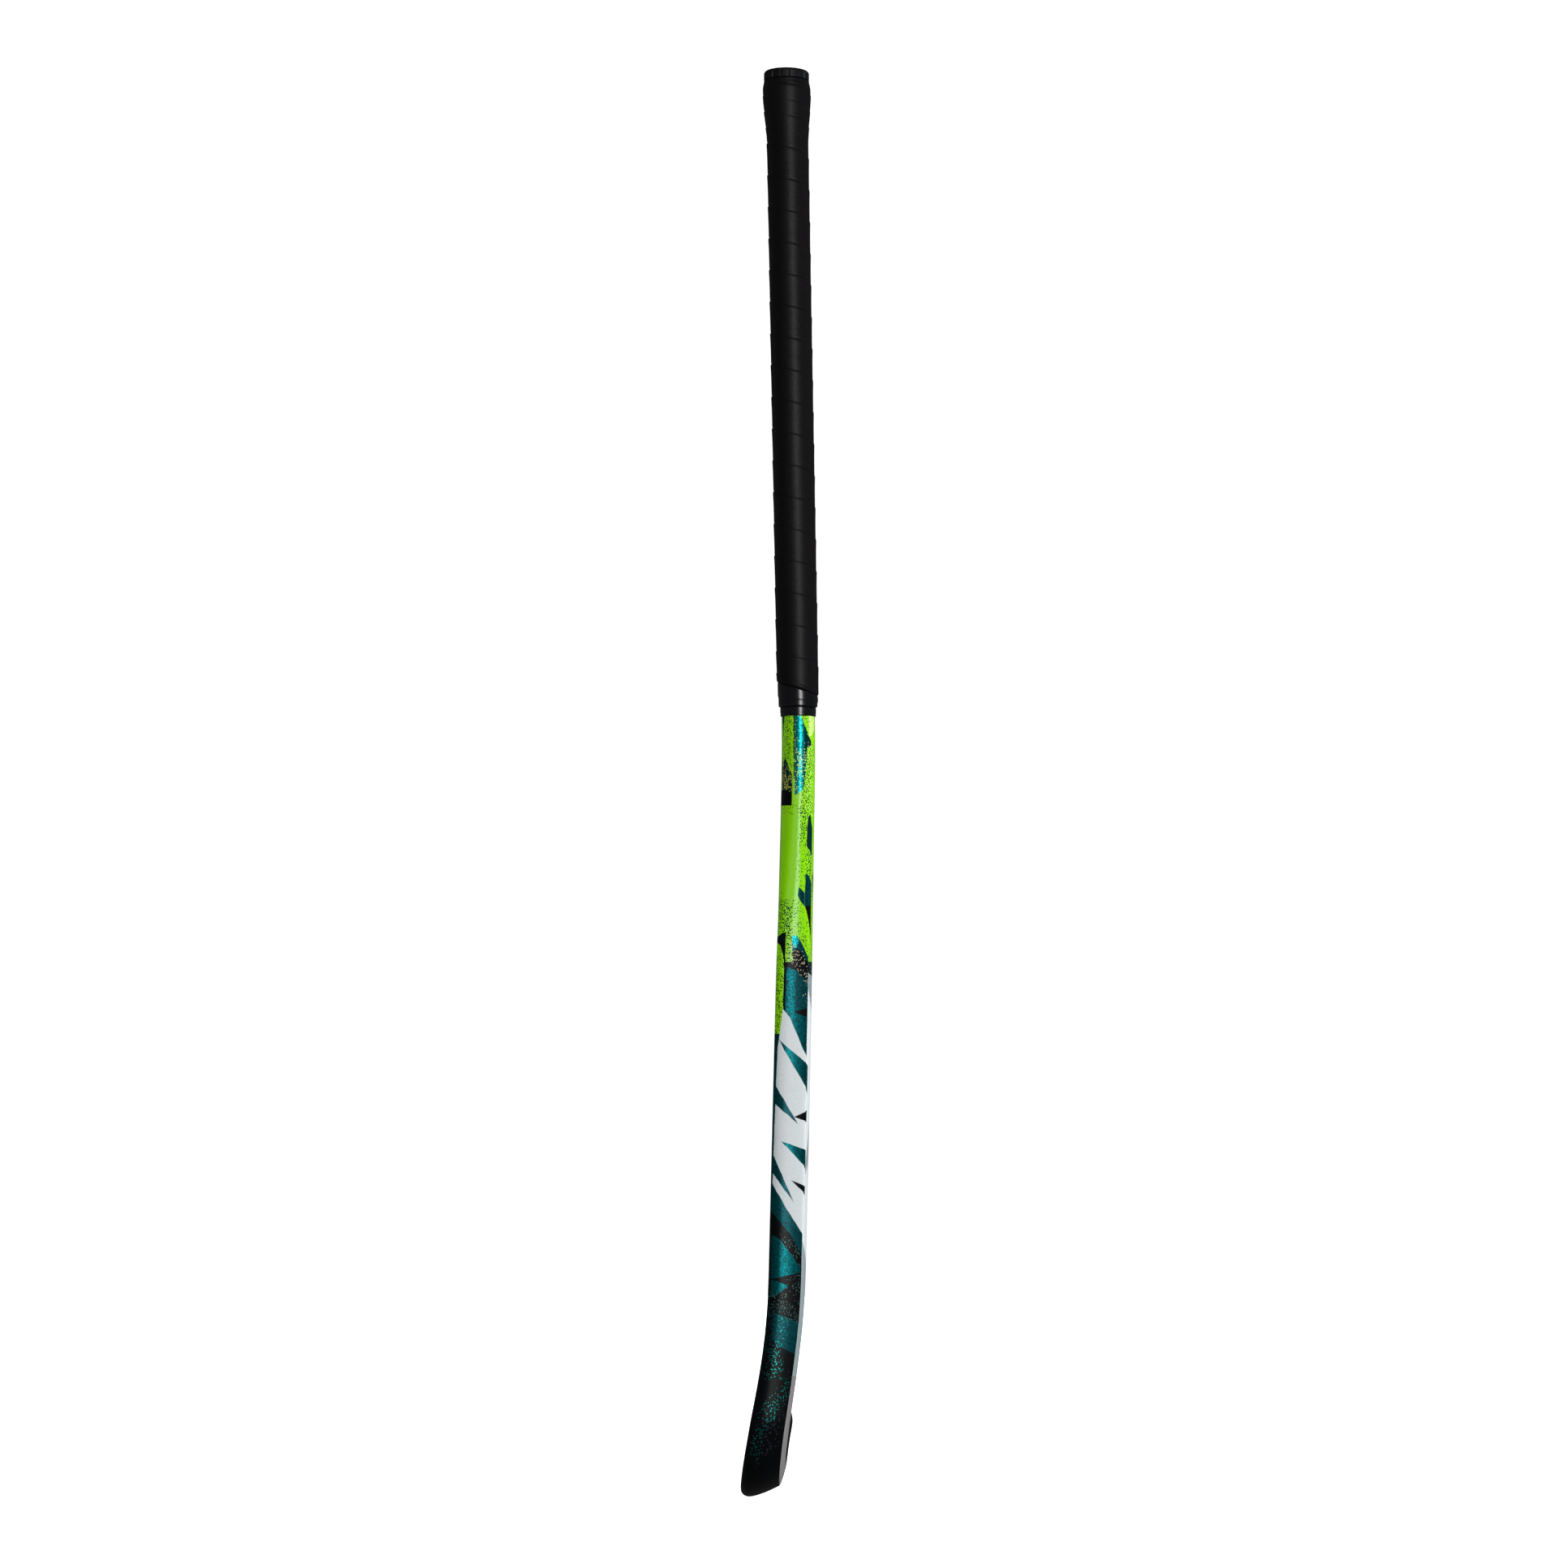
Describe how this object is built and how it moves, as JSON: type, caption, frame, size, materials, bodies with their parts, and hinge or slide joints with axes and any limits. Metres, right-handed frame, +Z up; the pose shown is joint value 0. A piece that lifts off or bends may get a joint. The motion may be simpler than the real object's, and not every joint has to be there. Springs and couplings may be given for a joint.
{
  "type": "field hockey stick",
  "caption": "Long hollow laminated stick with a flat-faced J-shaped head, a rounded back, a spirally wound handle grip and a notched butt cap.",
  "frame": {"origin": "middle of the underside of the bounding box, so the head's lowest point is at height zero", "axes": "+Z up the handle towards the butt cap, -X the flat playing face, +X the rounded back, -Y the heel edge, +Y the toe of the hook"},
  "size_m": [0.0524, 0.1176, 0.927],
  "materials": {
    "painted_laminate": "clear-coated composite laminate in lime, teal, white and black",
    "bare_laminate": "uncoated carbon and glass fibre laminate",
    "nylon_film": "thin translucent film",
    "dense_foam": "dense moulded foam",
    "plug_foam": "rigid closed-cell foam",
    "build_up_rubber": "matte",
    "adhesive_tape": "cloth-backed double-sided tape",
    "grip_polyurethane": "soft satin cushion grip",
    "gloss_tape": "glossy vinyl tape",
    "cap_plastic": "satin moulded"
  },
  "bodies": {
    "root": {"shell": "painted_laminate", "tube_heel": "bare_laminate", "tube_toe": "bare_laminate", "bladder_heel": "nylon_film", "bladder_toe": "nylon_film", "head_core": "dense_foam", "butt_plug": "plug_foam", "butt_flare": "build_up_rubber", "grip_backing": "adhesive_tape", "grip_wrap": "grip_polyurethane", "finish_tape": "gloss_tape", "collar_band": "gloss_tape", "end_cap": "cap_plastic"}
  },
  "joints": []
}
